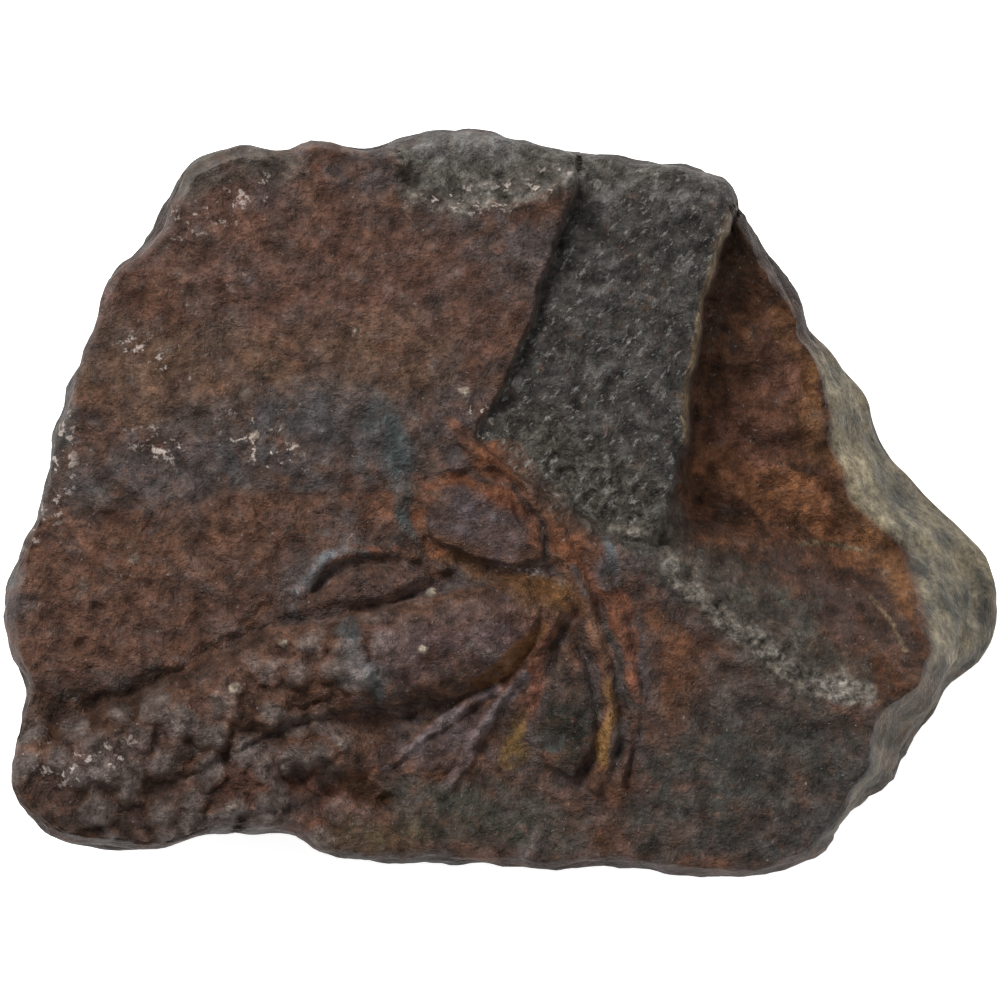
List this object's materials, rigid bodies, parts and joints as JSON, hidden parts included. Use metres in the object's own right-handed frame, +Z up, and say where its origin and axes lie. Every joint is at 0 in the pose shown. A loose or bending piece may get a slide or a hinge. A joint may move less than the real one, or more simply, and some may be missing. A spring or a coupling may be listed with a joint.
{
  "type": "fossil trilobite",
  "caption": "Loose piece of iron-stained mudstone with the front half of a trilobite raised on its broken upper face; it rests flat with the fossil up.",
  "frame": {"origin": "on the flat resting face under the stone, below the middle of the picture's view of it", "axes": "+Z up, out of the face that carries the fossil; +X along the stone's longest way, towards the weathered corner that the trilobite's head points to; +Y to the back, where the recessed bed is"},
  "size_m": [0.1, 0.0754, 0.038],
  "materials": {
    "mudstone": "matt, rough, stained brown and grey by iron"
  },
  "bodies": {
    "root": {"fossil_stone": "mudstone"}
  },
  "joints": []
}
